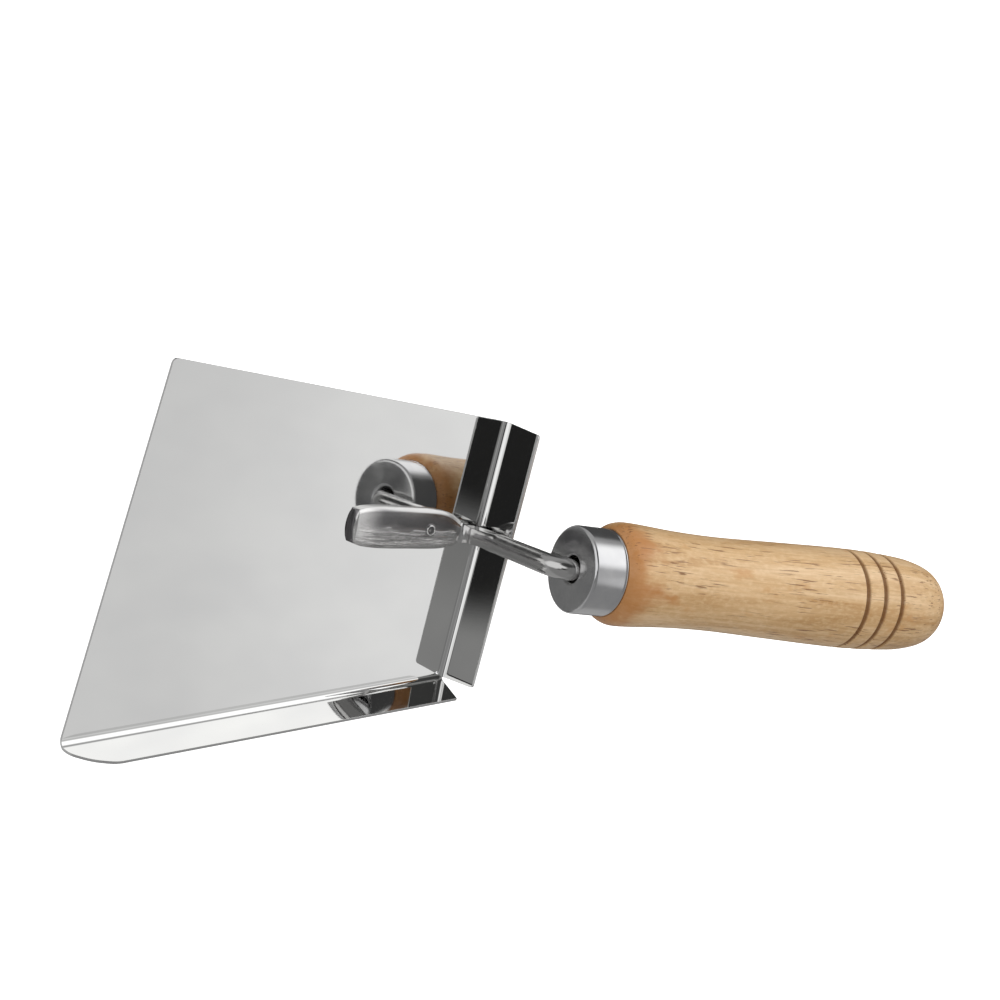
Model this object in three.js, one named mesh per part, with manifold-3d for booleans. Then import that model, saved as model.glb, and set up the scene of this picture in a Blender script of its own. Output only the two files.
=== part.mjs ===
// Inside corner trowel: a folded sheet-steel blade, a one-piece forged tang,
// a pressed ferrule and a turned wooden handle.
//
// Millimetres, +Z up. The flat working face lies on z = 0 with its middle at the origin,
// +X runs from the front edge towards the handle and +Y towards the blade's plain side edge.

import * as THREE from 'three';
import { mergeVertices } from 'three/addons/utils/BufferGeometryUtils.js';
import Module from 'manifold-3d';

const degrees = THREE.MathUtils.degToRad;

// Blade: places are measured from the corner where the heel fold and the side fold meet.
const SHEET = 0.8;
const HEEL_FOLD_LENGTH = 77.3;
const PLAIN_FRONT_CORNER = new THREE.Vector2(-115.3, 75.3);
const SIDE_FOLD_FRONT = new THREE.Vector2(-120.8, -27.7);
const FRONT_CORNER_RADIUS = 1.6;
const HEEL_FLANGE_HEIGHT = 13.3;
const HEEL_FLANGE_BEND = degrees(90);
const HEEL_FLANGE_SLANT = 1.1;
const SIDE_FLANGE_WIDTH = 11.6;
const SIDE_FLANGE_BEND = degrees(78.2);
const SIDE_FLANGE_SLANT = 3;
const SIDE_FLANGE_CLIP = 9.5;
const CLIP_FOOT_RISE = 3;
const CLIP_TOP_RADIUS = 2.5;
const CLIP_FOOT_RADIUS = 2;
const FLANGE_CORNER_RADIUS = 1;
const FOLD_RADIUS = 2.2;
const FOLD_SEGMENTS = 8;
const FOLD_OVERLAP = 3;
const CORNER_RELIEF = 0.8;
const FLANGE_TRIM_REACH = 9;
const FRONT_TRIM_REACH = 40;
const FACE_CENTRE_FROM_CORNER = new THREE.Vector2(-60, 31);

// Handle line: where its axis meets the ferrule's front face, and how it leaves the blade.
const GRIP_START = new THREE.Vector3(-2.4, 43.9, 43.9);
const GRIP_AZIMUTH = degrees(3.9);
const GRIP_ELEVATION = degrees(10.3);

// Tang: places along the handle's azimuth, measured from the ferrule's front face.
const TANG_OFFSET = -0.3;
const FOOT_FRONT = -45.3;
const FOOT_TIP = -6.4;
const FOOT_FRONT_HALF_WIDTH = 4.65;
const FOOT_FRONT_BULGE = 0.7;
const FOOT_THICKNESS = 2.4;
const FOOT_BEVEL = 0.6;
const FOOT_TRIM_SIZE = 60;
const NECK_HALF_WIDTH = 2.3;
const NECK_HEIGHT = 7;
const NECK_OVERLAP = 3;
const NECK_STEP = 0.3;
const NECK_CHAMFER = 1.2;
const NECK_FILLET_REACH = 3;
const ROD_RADIUS = 2.9;
const ROD_BASE = new THREE.Vector2(-1.2, 2.6);
const ROD_LEAN = degrees(3.8);
const ROD_BEND_TANGENT = 4.2;
const ROD_STEPS = 40;
const SPIKE_STRAIGHT = 12;
const SPIKE_LENGTH = 46;
const SPIKE_SHOULDER_RADIUS = 2.6;
const SPIKE_TIP_RADIUS = 1;
const SPIKE_OVERLAP = 2;
const SPIKE_SEGMENTS = 12;

// The foot's outline on one side: distance behind its front, then half width.
const FOOT_SIDE = [[5, 5.5], [12, 6], [21, 5.9], [28, 5.75], [32, 5.35], [34.7, 4.55], [36.8, 3.4]];

// Ferrule and handle, measured back from the ferrule's front face.
const FERRULE_RADIUS = 12.25;
const FERRULE_LENGTH = 10.8;
const FERRULE_WALL = 0.6;
const FERRULE_RIM_RADIUS = 1;
const FERRULE_HOLE_RADIUS = 3.6;
const FERRULE_LIP_DEPTH = 1.5;
const FERRULE_LIP_RADIUS = 1.2;
const FERRULE_INNER_LIP_RADIUS = 0.8;
const HANDLE_END = 134;
const BORE_STRAIGHT = 15;
const GROOVE_PLACES = [95.7, 102.5, 109.3];
const GROOVE_HALF_WIDTH = 1;
const GROOVE_DEPTH = 0.9;
const GROOVE_CLEARANCE = 1.5;
const TURNED_SEGMENTS = 40;
const OUTLINE_STEPS = 32;
const OUTLINE_SAMPLES = 400;

// The handle's turned outline: distance behind the ferrule's front face, then radius.
const HANDLE_OUTLINE = [
  [13.4, 14.2], [18, 14.55], [33, 13.75], [48, 13.55], [66, 14.05], [88, 14.7],
  [101, 14.85], [113, 14.4], [121, 13.6], [128, 11.5], [132.2, 7.2], [HANDLE_END, 0],
];
const HANDLE_SHOULDER_RADIUS = 12.5;

// Clear space left between two pieces that touch on the real tool.
const GAP = 0.3;

const polishedSteel = { color: 0xc4c4c4, roughness: 0.2, metalness: 1 };
const forgedSteel = { color: 0x9c9a98, roughness: 0.32, metalness: 1 };
const turnedWood = { color: 0xc8a377, roughness: 0.5, metalness: 0 };

const wasm = await Module();
wasm.setup();

// Turns a closed geometry into a solid for joining and cutting.
function solid(geometry) {
  const bare = geometry.clone();
  bare.deleteAttribute('normal');
  bare.deleteAttribute('uv');
  const merged = mergeVertices(bare, 1e-4);
  return new wasm.Manifold(new wasm.Mesh({
    numProp: 3,
    vertProperties: merged.attributes.position.array,
    triVerts: new Uint32Array(merged.index.array),
  }));
}

function geometryOf(body) {
  const mesh = body.getMesh();
  const geometry = new THREE.BufferGeometry();
  geometry.setAttribute('position', new THREE.BufferAttribute(mesh.vertProperties, 3));
  geometry.setIndex(new THREE.BufferAttribute(mesh.triVerts, 1));
  return geometry;
}

function namedMesh(name, geometry, look) {
  const mesh = new THREE.Mesh(geometry, new THREE.MeshStandardMaterial(look));
  mesh.name = name;
  return mesh;
}

function extrude(shape, depth, curveSegments = 6) {
  return new THREE.ExtrudeGeometry(shape, { depth, curveSegments, bevelEnabled: false });
}

// Runs a shape's outline up to `corner` and rounds it there, on the way from `before` to `after`.
function roundCorner(shape, before, corner, after, radius) {
  const enter = corner.clone().add(before.clone().sub(corner).setLength(radius));
  const leave = corner.clone().add(after.clone().sub(corner).setLength(radius));
  shape.lineTo(enter.x, enter.y);
  shape.quadraticCurveTo(corner.x, corner.y, leave.x, leave.y);
}

// ---- blade ----

const upward = new THREE.Vector3(0, 0, 1);
const heelOutward = new THREE.Vector3(1, 0, 0);
const sideOutward = new THREE.Vector3(-SIDE_FOLD_FRONT.y, SIDE_FOLD_FRONT.x, 0).normalize();
const sideFoldLength = SIDE_FOLD_FRONT.length();

// How far before a fold's sharp corner the sheet starts to turn.
const foldTangent = (bend) => FOLD_RADIUS * Math.tan(bend / 2);

// A flange is a strip bent up about a fold line that begins at `start` on the upper face.
// `outline` trims it: its x runs along the fold and its y runs up the flange.
function flange({ start, outward, bend, width, length, outline }) {
  const along = new THREE.Vector3().crossVectors(outward, upward);
  const tangent = foldTangent(bend);
  const overlap = tangent + FOLD_OVERLAP;
  const turned = bend - Math.PI / 2;
  const section = new THREE.Shape();
  section.moveTo(-overlap, 0);
  section.absarc(-tangent, FOLD_RADIUS, FOLD_RADIUS, -Math.PI / 2, turned, false);
  section.lineTo(width * Math.cos(bend), width * Math.sin(bend));
  section.lineTo(
    width * Math.cos(bend) + SHEET * Math.sin(bend),
    width * Math.sin(bend) - SHEET * Math.cos(bend),
  );
  section.absarc(-tangent, FOLD_RADIUS, FOLD_RADIUS + SHEET, turned, -Math.PI / 2, true);
  section.lineTo(-overlap, -SHEET);
  const strip = extrude(section, length, FOLD_SEGMENTS);
  strip.applyMatrix4(new THREE.Matrix4().makeBasis(outward, upward, along).setPosition(start));

  const rise = outward.clone().multiplyScalar(Math.cos(bend)).addScaledVector(upward, Math.sin(bend));
  const inward = new THREE.Vector3().crossVectors(along, rise);
  const trim = extrude(outline, 2 * FLANGE_TRIM_REACH);
  trim.translate(0, 0, -FLANGE_TRIM_REACH);
  trim.applyMatrix4(new THREE.Matrix4().makeBasis(along, rise, inward).setPosition(start));
  return solid(strip).intersect(solid(trim));
}

// The heel flange: square to the plate, its two ends leaning in a little towards the top.
function heelFlange() {
  const end = HEEL_FOLD_LENGTH - CORNER_RELIEF;
  const foldEnd = new THREE.Vector2(end, 0);
  const topEnd = new THREE.Vector2(end - HEEL_FLANGE_SLANT / 2, HEEL_FLANGE_HEIGHT);
  const topStart = new THREE.Vector2(HEEL_FLANGE_SLANT, HEEL_FLANGE_HEIGHT);
  const foldStart = new THREE.Vector2(0, 0);
  const outline = new THREE.Shape();
  outline.moveTo(0, -FLANGE_TRIM_REACH);
  outline.lineTo(end, -FLANGE_TRIM_REACH);
  outline.lineTo(foldEnd.x, foldEnd.y);
  roundCorner(outline, foldEnd, topEnd, topStart, FLANGE_CORNER_RADIUS);
  roundCorner(outline, topEnd, topStart, foldStart, FLANGE_CORNER_RADIUS);
  outline.lineTo(foldStart.x, foldStart.y);
  return flange({
    start: new THREE.Vector3(0, HEEL_FOLD_LENGTH, SHEET),
    outward: heelOutward,
    bend: HEEL_FLANGE_BEND,
    width: HEEL_FLANGE_HEIGHT,
    length: HEEL_FOLD_LENGTH,
    outline,
  });
}

// The side flange: cut back slantwise at the heel end, with a long clipped corner at the front.
function sideFlange() {
  const start = CORNER_RELIEF / 2;
  const front = sideFoldLength;
  const heelTop = new THREE.Vector2(SIDE_FLANGE_SLANT, SIDE_FLANGE_WIDTH);
  const clipTop = new THREE.Vector2(front - SIDE_FLANGE_CLIP, SIDE_FLANGE_WIDTH);
  const clipFoot = new THREE.Vector2(front, CLIP_FOOT_RISE);
  const frontFold = new THREE.Vector2(front, 0);
  const outline = new THREE.Shape();
  outline.moveTo(start, -FLANGE_TRIM_REACH);
  outline.lineTo(start, 0);
  outline.lineTo(heelTop.x, heelTop.y);
  roundCorner(outline, heelTop, clipTop, clipFoot, CLIP_TOP_RADIUS);
  roundCorner(outline, clipTop, clipFoot, frontFold, CLIP_FOOT_RADIUS);
  outline.lineTo(frontFold.x, frontFold.y);
  outline.lineTo(front, -FLANGE_TRIM_REACH);
  return flange({
    start: new THREE.Vector3(0, 0, SHEET),
    outward: sideOutward,
    bend: SIDE_FLANGE_BEND,
    width: SIDE_FLANGE_WIDTH,
    length: sideFoldLength,
    outline,
  });
}

// The flat plate, which stops where each fold starts to turn.
function plate() {
  const heelInset = foldTangent(HEEL_FLANGE_BEND);
  const sideInset = new THREE.Vector2(sideOutward.x, sideOutward.y);
  sideInset.multiplyScalar(-foldTangent(SIDE_FLANGE_BEND));
  const slope = SIDE_FOLD_FRONT.y / SIDE_FOLD_FRONT.x;
  const inner = new THREE.Vector2(-heelInset, sideInset.y - slope * (heelInset + sideInset.x));
  const heelPlain = new THREE.Vector2(-heelInset, HEEL_FOLD_LENGTH);
  const sideFront = SIDE_FOLD_FRONT.clone().add(sideInset);
  const outline = new THREE.Shape();
  outline.moveTo(inner.x, inner.y);
  outline.lineTo(heelPlain.x, heelPlain.y);
  roundCorner(outline, heelPlain, PLAIN_FRONT_CORNER, sideFront, FRONT_CORNER_RADIUS);
  outline.lineTo(sideFront.x, sideFront.y);
  outline.closePath();
  return solid(extrude(outline, SHEET));
}

// Everything behind the line of the front edge: it trims the side flange's root to that edge.
function behindFrontEdge() {
  const edge = SIDE_FOLD_FRONT.clone().sub(PLAIN_FRONT_CORNER).normalize();
  const low = SIDE_FOLD_FRONT.clone().addScaledVector(edge, FRONT_TRIM_REACH);
  const high = PLAIN_FRONT_CORNER.clone().addScaledVector(edge, -FRONT_TRIM_REACH);
  const outline = new THREE.Shape([
    low,
    new THREE.Vector2(FRONT_TRIM_REACH, low.y),
    new THREE.Vector2(FRONT_TRIM_REACH, high.y),
    high,
  ]);
  const block = extrude(outline, FRONT_TRIM_REACH);
  block.translate(0, 0, -FRONT_TRIM_REACH / 2);
  return solid(block);
}

function bladeBody() {
  const side = sideFlange().intersect(behindFrontEdge());
  return plate().add(heelFlange()).add(side);
}

const blade = namedMesh('blade', geometryOf(bladeBody()), polishedSteel);

// ---- tang ----

// The leaf-shaped foot: a blunt front, a full middle, a taper to the neck and a bevelled top edge.
function foot() {
  const side = FOOT_SIDE.map(([behind, width]) => new THREE.Vector2(FOOT_FRONT + behind, width));
  side.push(new THREE.Vector2(FOOT_TIP, NECK_HALF_WIDTH));
  const otherSide = side.map((point) => new THREE.Vector2(point.x, -point.y)).reverse();
  const corner = new THREE.Vector2(FOOT_FRONT + FOOT_FRONT_BULGE, FOOT_FRONT_HALF_WIDTH);
  const outline = new THREE.Shape();
  outline.moveTo(corner.x, corner.y);
  outline.splineThru(side);
  outline.lineTo(otherSide[0].x, otherSide[0].y);
  outline.splineThru(otherSide.slice(1).concat(new THREE.Vector2(corner.x, -corner.y)));
  outline.quadraticCurveTo(FOOT_FRONT - FOOT_FRONT_BULGE, 0, corner.x, corner.y);
  const slab = new THREE.ExtrudeGeometry(outline, {
    depth: FOOT_THICKNESS,
    curveSegments: 3,
    bevelThickness: FOOT_BEVEL,
    bevelSize: FOOT_BEVEL,
    bevelOffset: -FOOT_BEVEL,
    bevelSegments: 1,
  });
  slab.translate(0, 0, -FOOT_BEVEL);
  const above = new THREE.BoxGeometry(FOOT_TRIM_SIZE, FOOT_TRIM_SIZE, 2 * FOOT_THICKNESS);
  above.translate(-FOOT_TRIM_SIZE / 2, 0, FOOT_THICKNESS);
  return solid(slab).intersect(solid(above));
}

// The neck: a short block that carries the foot's tip to the base of the rod.
function neck() {
  const side = new THREE.Shape();
  const start = new THREE.Vector2(FOOT_TIP - NECK_OVERLAP, FOOT_THICKNESS - NECK_STEP);
  const back = ROD_BASE.x + NECK_HALF_WIDTH;
  side.moveTo(start.x, 0);
  side.lineTo(back - NECK_CHAMFER, 0);
  side.lineTo(back, NECK_CHAMFER);
  side.lineTo(back, NECK_HEIGHT);
  side.lineTo(ROD_BASE.x - NECK_HALF_WIDTH, NECK_HEIGHT);
  side.quadraticCurveTo(ROD_BASE.x - NECK_FILLET_REACH, FOOT_THICKNESS, start.x, start.y);
  side.closePath();
  const block = extrude(side, 2 * NECK_HALF_WIDTH);
  block.rotateX(Math.PI / 2);
  block.translate(0, NECK_HALF_WIDTH, 0);
  return solid(block);
}

// The rod rises from the neck, leans forward a little, and bends into the line of the handle.
function rod(gripHeight) {
  const rise = new THREE.Vector2(-Math.sin(ROD_LEAN), Math.cos(ROD_LEAN));
  const grip = new THREE.Vector2(Math.cos(GRIP_ELEVATION), Math.sin(GRIP_ELEVATION));
  const gripStart = new THREE.Vector2(0, gripHeight);
  const reach = gripStart.clone().sub(ROD_BASE).cross(grip) / rise.cross(grip);
  const corner = ROD_BASE.clone().addScaledVector(rise, reach);
  const bendStart = corner.clone().addScaledVector(rise, -ROD_BEND_TANGENT);
  const bendEnd = corner.clone().addScaledVector(grip, ROD_BEND_TANGENT);
  const spikeStart = gripStart.clone().addScaledVector(grip, SPIKE_STRAIGHT);
  const upright = (point) => new THREE.Vector3(point.x, 0, point.y);
  const path = new THREE.CurvePath();
  path.add(new THREE.LineCurve3(upright(ROD_BASE), upright(bendStart)));
  path.add(new THREE.QuadraticBezierCurve3(upright(bendStart), upright(corner), upright(bendEnd)));
  path.add(new THREE.LineCurve3(upright(bendEnd), upright(spikeStart)));
  const section = new THREE.Shape();
  section.absarc(0, 0, ROD_RADIUS, 0, 2 * Math.PI, false);
  return solid(new THREE.ExtrudeGeometry(section, {
    steps: ROD_STEPS,
    curveSegments: 14,
    extrudePath: path,
  }));
}

// The spike that is driven into the handle tapers from the rod to a blunt point.
function spike(gripHeight) {
  const profile = [
    new THREE.Vector2(0, SPIKE_STRAIGHT - SPIKE_OVERLAP),
    new THREE.Vector2(SPIKE_SHOULDER_RADIUS, SPIKE_STRAIGHT - SPIKE_OVERLAP),
    new THREE.Vector2(SPIKE_SHOULDER_RADIUS, SPIKE_STRAIGHT + SPIKE_OVERLAP),
    new THREE.Vector2(SPIKE_TIP_RADIUS, SPIKE_LENGTH),
    new THREE.Vector2(0, SPIKE_LENGTH),
  ];
  const cone = new THREE.LatheGeometry(profile, SPIKE_SEGMENTS);
  cone.rotateZ(GRIP_ELEVATION - Math.PI / 2);
  cone.rotateX(Math.PI / 2);
  cone.translate(0, 0, gripHeight);
  return solid(cone);
}

const tangBase = SHEET + GAP;
const gripHeight = GRIP_START.z - tangBase;
const tangBody = foot().add(neck()).add(rod(gripHeight)).add(spike(gripHeight));
const tang = namedMesh('tang', geometryOf(tangBody), forgedSteel);
tang.position.set(0, TANG_OFFSET, tangBase);

// ---- ferrule ----

// A pressed cup: rounded rim, flat front face, and a hole whose lip is turned inward.
function ferruleProfile() {
  const rim = FERRULE_RADIUS - FERRULE_RIM_RADIUS;
  const inner = FERRULE_RADIUS - FERRULE_WALL;
  const lip = FERRULE_HOLE_RADIUS + FERRULE_WALL;
  const profile = new THREE.Path();
  profile.moveTo(FERRULE_HOLE_RADIUS, FERRULE_LIP_DEPTH);
  profile.quadraticCurveTo(FERRULE_HOLE_RADIUS, 0, FERRULE_HOLE_RADIUS + FERRULE_LIP_RADIUS, 0);
  profile.lineTo(rim, 0);
  profile.absarc(rim, FERRULE_RIM_RADIUS, FERRULE_RIM_RADIUS, -Math.PI / 2, 0, false);
  profile.lineTo(FERRULE_RADIUS, FERRULE_LENGTH);
  profile.lineTo(inner, FERRULE_LENGTH);
  profile.absarc(rim, FERRULE_RIM_RADIUS, FERRULE_RIM_RADIUS - FERRULE_WALL, 0, -Math.PI / 2, true);
  profile.lineTo(lip + FERRULE_INNER_LIP_RADIUS, FERRULE_WALL);
  profile.quadraticCurveTo(lip, FERRULE_WALL, lip, FERRULE_LIP_DEPTH);
  profile.lineTo(FERRULE_HOLE_RADIUS, FERRULE_LIP_DEPTH);
  return profile.getPoints(4);
}

// ---- handle ----

const shoulder = new THREE.Vector2(FERRULE_LENGTH + GAP, HANDLE_SHOULDER_RADIUS);
const turnedPoints = HANDLE_OUTLINE.map(([behind, radius]) => new THREE.Vector2(behind, radius));
const handleOutline = new THREE.SplineCurve([shoulder, ...turnedPoints]);
const outlineSamples = handleOutline.getPoints(OUTLINE_SAMPLES);

function handleRadius(place) {
  const after = outlineSamples.findIndex((sample) => sample.x >= place);
  const [a, b] = [outlineSamples[after - 1], outlineSamples[after]];
  return THREE.MathUtils.mapLinear(place, a.x, b.x, a.y, b.y);
}

// A lathe profile: the bore, then the spigot inside the ferrule, then the turned outside.
function handleProfile() {
  const spigot = FERRULE_RADIUS - FERRULE_WALL - GAP;
  const bore = ROD_RADIUS + GAP - TANG_OFFSET;
  const boreTip = SPIKE_TIP_RADIUS + GAP - TANG_OFFSET;
  const front = FERRULE_LIP_DEPTH + GAP;
  const inside = [
    new THREE.Vector2(0, SPIKE_LENGTH + GAP),
    new THREE.Vector2(boreTip, SPIKE_LENGTH + GAP),
    new THREE.Vector2(bore, BORE_STRAIGHT),
    new THREE.Vector2(bore, front),
    new THREE.Vector2(spigot, front),
    new THREE.Vector2(spigot, FERRULE_LENGTH + GAP),
  ];
  const clear = GROOVE_CLEARANCE * GROOVE_HALF_WIDTH;
  const inGroove = (place) => GROOVE_PLACES.some((groove) => Math.abs(place - groove) < clear);
  const outside = handleOutline.getPoints(OUTLINE_STEPS).filter((point) => !inGroove(point.x));
  GROOVE_PLACES.forEach((groove) => {
    const [start, end] = [groove - GROOVE_HALF_WIDTH, groove + GROOVE_HALF_WIDTH];
    outside.push(new THREE.Vector2(start, handleRadius(start)));
    outside.push(new THREE.Vector2(groove, handleRadius(groove) - GROOVE_DEPTH));
    outside.push(new THREE.Vector2(end, handleRadius(end)));
  });
  outside.sort((a, b) => a.x - b.x);
  return inside.concat(outside.map((point) => new THREE.Vector2(point.y, point.x)));
}

// A lathe turns about +Y: this lays its axis along +X.
function turned(profile) {
  return new THREE.LatheGeometry(profile, TURNED_SEGMENTS).rotateZ(-Math.PI / 2);
}

const ferrule = namedMesh('ferrule', turned(ferruleProfile()), polishedSteel);
const handle = namedMesh('handle', turned(handleProfile()), turnedWood);

// ---- assembly ----

const grip = new THREE.Group();
grip.add(ferrule, handle);
grip.rotation.y = -GRIP_ELEVATION;
grip.position.z = GRIP_START.z;

const shank = new THREE.Group();
shank.add(tang, grip);
shank.rotation.z = GRIP_AZIMUTH;
shank.position.set(GRIP_START.x, GRIP_START.y, 0);

const trowel = new THREE.Group();
trowel.add(blade, shank);
trowel.position.set(-FACE_CENTRE_FROM_CORNER.x, -FACE_CENTRE_FROM_CORNER.y, 0);

const root = new THREE.Group();
root.add(trowel);

export default root;
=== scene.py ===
"""Inside corner trowel: a folded polished blade, a forged tang, a pressed ferrule and a turned handle.

Shapes are drawn in millimetres and turned into metres as their meshes are made.
"""

import math

import bmesh
import bpy
from mathutils import Matrix, Vector


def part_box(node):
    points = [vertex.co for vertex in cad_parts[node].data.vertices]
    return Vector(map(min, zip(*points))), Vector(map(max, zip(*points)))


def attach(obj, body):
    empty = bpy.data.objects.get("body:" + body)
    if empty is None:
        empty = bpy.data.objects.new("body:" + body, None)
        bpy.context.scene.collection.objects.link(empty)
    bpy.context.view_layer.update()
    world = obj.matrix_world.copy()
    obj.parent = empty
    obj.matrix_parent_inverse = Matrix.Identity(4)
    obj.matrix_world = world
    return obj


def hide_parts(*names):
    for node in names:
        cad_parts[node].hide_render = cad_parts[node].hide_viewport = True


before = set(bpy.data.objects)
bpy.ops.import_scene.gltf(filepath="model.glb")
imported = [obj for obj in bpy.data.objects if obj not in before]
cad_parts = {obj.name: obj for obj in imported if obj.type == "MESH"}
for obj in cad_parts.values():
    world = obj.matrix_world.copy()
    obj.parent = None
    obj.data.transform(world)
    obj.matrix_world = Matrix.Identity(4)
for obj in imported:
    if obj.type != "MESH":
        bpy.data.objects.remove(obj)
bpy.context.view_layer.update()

MM = 0.001
CREASE = math.radians(35)
SAME_PLACE = 1e-4

# Blade, in millimetres from the corner where its two folds would meet.
SHEET = 0.8
HEEL_FOLD_LENGTH = 77.3
PLAIN_FRONT_CORNER = Vector((-115.3, 75.3))
SIDE_FOLD_FRONT = Vector((-120.8, -27.7))
FRONT_CORNER_RADIUS = 1.6
HEEL_FLANGE_HEIGHT = 13.3
HEEL_FLANGE_BEND = math.radians(88.5)
# The share by which the heel flange gets taller for each millimetre along it.
HEEL_FLANGE_GROWTH = 0.0009
SIDE_FLANGE_WIDTH = 11.6
SIDE_FLANGE_BEND = math.radians(78.2)
FOLD_RADIUS = 2.2
FOLD_STEPS = 16
FRONT_END_STEPS = 6
ROUND_CORNER_STEPS = 6
FRONT_CORNER_STEPS = 8
RELIEF_STEPS = 8
LEAST_RISE = 0.05
CUT_EDGE_ROUNDING = 0.14
CUT_EDGE_ANGLE = math.radians(50)
CORNER_RELIEF = 0.3
RELIEF_RADIUS = 0.5
FLANGE_CORNER_RADIUS = 1.0
HEEL_END_LEAN = 0.55
SIDE_FLANGE_SLANT = 3.0
SIDE_FRONT_EASE = 0.2
# The side flange's clipped front end: height up the flange, then distance along the fold.
SIDE_FRONT_END = (
    (1, 124), (4, 123.3), (6.5, 121.4), (8.5, 119.3), (10, 117), (11.2, 114.5), (11.6, 112.4),
)

# Tang, in millimetres along the handle's azimuth from the ferrule's front face.
FOOT_FRONT = -45.3
FOOT_HALF_WIDTH = 6.0
ROD_FOOT = Vector((-1.2, 2.88))
ROD_LEAN = math.radians(3.8)
ROD_BEND_TANGENT = 7.0
TANG_ACROSS = -0.3
TANG_CLEARANCE = 0.02
FOOT_HEIGHT = 2.1
FILLET_START = -7.6
FILLET_RISE = 6.4
CROWN = 0.3
SHOULDER_WIDTH = 1.5
SHOULDER_DROP = 0.75
NOSE = 1.8
NOSE_BULGE = 0.7
# Against the distance run along the middle line from the foot's front: half the width, then how
# far the metal reaches on the bend's inner side (the foot's top) and on its outer side (below).
TANG_HALF_WIDTH = (
    (0, 4.6), (4, 5.5), (9, 5.9), (14, 6.0), (21, 5.95), (28, 5.85), (32.5, 5.5), (35.5, 4.8),
    (38, 3.7), (39.4, 2.9), (40.8, 2.5), (43, 2.4), (51, 2.4), (55, 2.85), (62, 2.95), (100, 2.9),
    (132, 1.0),
)
TANG_TOP = (
    (0, 1.05), (37.3, 1.05), (38.9, 1.3), (39.7, 1.75), (40.5, 2.5), (42.7, 3.45), (45, 3.65),
    (47.8, 3.4), (51, 2.85), (54, 2.8), (57, 2.95), (100, 2.9), (132, 1),
)
TANG_BOTTOM = ((0, 1.05), (36, 1.05), (40, 1.5), (44, 2.3), (50, 2.8), (57, 2.95), (100, 2.9), (132, 1))
TANG_ROUNDNESS = ((37, 0), (50, 0.12), (53, 0.25), (55.5, 1))
# How far the foot's top is rounded down at its front.
NOSE_DROP = ((0, 0.8), (1.4, 0))
# The foot lies a little askew: how far its middle is off the line.
TANG_SHIFT = ((0, -0.3), (12, -0.1), (34, 0.45), (41, 0))
# A thin seam left by the forging dies along the rod: where it starts and ends, its angle and shape.
SEAM_START = 55
SEAM_END = 71
SEAM_ANGLE = 72
SEAM_WIDTH = 1.6
SEAM_HEIGHT = 0.07
# How far across the top of a section each of its points lies: closer together near the middle.
TOP_MIDDLE = [0.52 - k * 0.03 for k in range(34)]
TOP_SHARES = (1, 0.9, 0.8, 0.7, 0.6, *TOP_MIDDLE, *[-0.55 - k * 0.09 for k in range(6)])
# The shoulder's profile, from the wall up to the flat top: shares of its width and of its drop.
SHOULDER = (
    (1, 1), (0.99, 0.85), (0.95, 0.72), (0.85, 0.6), (0.7, 0.46), (0.5, 0.29), (0.3, 0.13), (0.12, 0.02),
)
# Where a section's stretches lie once it is round, in degrees, and the steps along them.
LOW_LEFT = 225
LOW_RIGHT = 315
BASE_STEPS = 8
WALL_SWEEP = 60
WALL_STEPS = 4
SHOULDER_RIGHT = 15
SHOULDER_LEFT = 135
SHOULDER_SWEEP = 30
TOP_HALF_SWEEP = 45
# Steps between the tang's sections: close where the shape changes quickly, in millimetres.
FINE_STEP = 0.12
COARSE_STEP = 0.8
NECK_STEP = 0.4
SPIKE_STEP = 4
FILLET_SECTIONS = 36
BEND_SECTIONS = 24

# The small ring mark on top of the foot: its place along and across, and its shape.
MARK_PLACE = (-17.5, 0.24)
MARK_REACH = 2.2
MARK_RADIUS = 1.32
MARK_LINE = 0.28
MARK_HEIGHT = 0.46
MARK_DIMPLE = 0.34
# Where the ground foot gives way to the smooth neck.
FOOT_END = -9.0

# Ferrule and handle, in millimetres back from the ferrule's front face.
FERRULE_RADIUS = 12.25
FERRULE_LENGTH = 10.8
FERRULE_WALL = 0.6
FERRULE_RIM_RADIUS = 1.0
FERRULE_HOLE_RADIUS = 3.6
FERRULE_LIP_RADIUS = 1.2
FERRULE_END_ROUNDING = 0.15
# The fine line rolled in near the ferrule's open end: distance from that end, then depth.
FERRULE_LINE = ((1.0, 0), (0.85, 0.14), (0.7, 0.14), (0.5, 0))
HANDLE_END = 134.0
# The turned outline: distance back, then radius.
HANDLE_SHOULDER = 12.5
HANDLE_OUTLINE = (
    (13.4, 14.2), (18, 14.55), (33, 13.75), (48, 13.55), (66, 14.05), (88, 14.7), (101, 14.85),
    (113, 14.4), (121, 13.6), (128, 11.5), (132.2, 7.2),
)
GROOVE_PLACES = (95.7, 102.5, 109.3)
GROOVE_HALF_WIDTH = 1.1
GROOVE_DEPTH = 0.9
SPIKE_LENGTH = 46.0
BORE_RADIUS = 3.3
BORE_SPARE = 1
FIT_GAP = 0.05
TURNED_SEGMENTS = 144
CURVE_STEPS = 24
# How far the orange tint reaches back from the ferrule.
TINT_REACH = 16.0

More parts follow.
